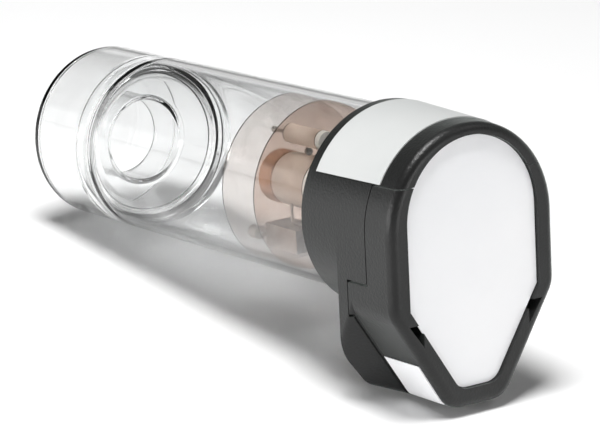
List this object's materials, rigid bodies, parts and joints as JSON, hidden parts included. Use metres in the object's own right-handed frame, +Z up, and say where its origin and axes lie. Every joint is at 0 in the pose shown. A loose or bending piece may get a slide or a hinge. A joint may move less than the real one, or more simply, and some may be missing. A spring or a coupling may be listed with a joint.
{
  "type": "hollow cathode lamp",
  "caption": "Hollow cathode lamp: clear blown glass bulb with a flat window, cathode and anode behind mica discs, in a black plug-in housing",
  "frame": {"origin": "Middle of the lamp's footprint on the floor, as it lies at rest on the rim of its window and the foot of its housing", "axes": "+X runs along the lamp from the window to the housing, level with the floor, +Z is up, and +Y completes the frame"},
  "size_m": [0.1838, 0.0548, 0.0743],
  "materials": {
    "clear_glass": "polished clear blown glass",
    "quartz": "polished flat quartz",
    "mica": "translucent ruby mica sheet",
    "ceramic_white": "unglazed cream ceramic",
    "cathode_metal": "dull copper-coloured metal",
    "lead_metal": "drawn nickel-iron wire",
    "getter_metal": "oxidised sheet metal",
    "cement": "pale cured cement",
    "cushion_rubber": "soft grey rubber",
    "housing_black": "black moulded plastic with a fine matte texture",
    "connector_plastic": "moulded connector plastic",
    "contact_gold": "gold-plated contacts",
    "board": "green circuit board laminate",
    "resistor_body": "beige resistor body",
    "wire_red": "red wire insulation",
    "wire_white": "white wire insulation",
    "label_white": "satin white label film",
    "label_grey": "pale grey-green label film"
  },
  "bodies": {
    "root": {"glass_envelope": "clear_glass", "quartz_window": "quartz", "glass_stem": "clear_glass", "front_mica_disc": "mica", "rear_mica_disc": "mica", "mica_eyelets": "lead_metal", "cathode_cup": "cathode_metal", "cathode_sleeve": "ceramic_white", "cathode_lead": "lead_metal", "anode_rod": "lead_metal", "anode_sleeve": "ceramic_white", "spacer_bracket": "getter_metal", "bracket_tie": "lead_metal", "getter_cup": "getter_metal", "getter_strap": "lead_metal", "cement_ring": "cement", "tube_cushion": "cushion_rubber", "front_housing": "housing_black", "rear_cover": "housing_black", "connector_body": "connector_plastic", "contact_pins": "contact_gold", "circuit_board": "board", "coding_resistors": "resistor_body", "cathode_wire": "wire_red", "anode_wire": "wire_white", "rear_label": "label_white", "top_label": "label_grey", "side_label": "label_white"}
  },
  "joints": []
}
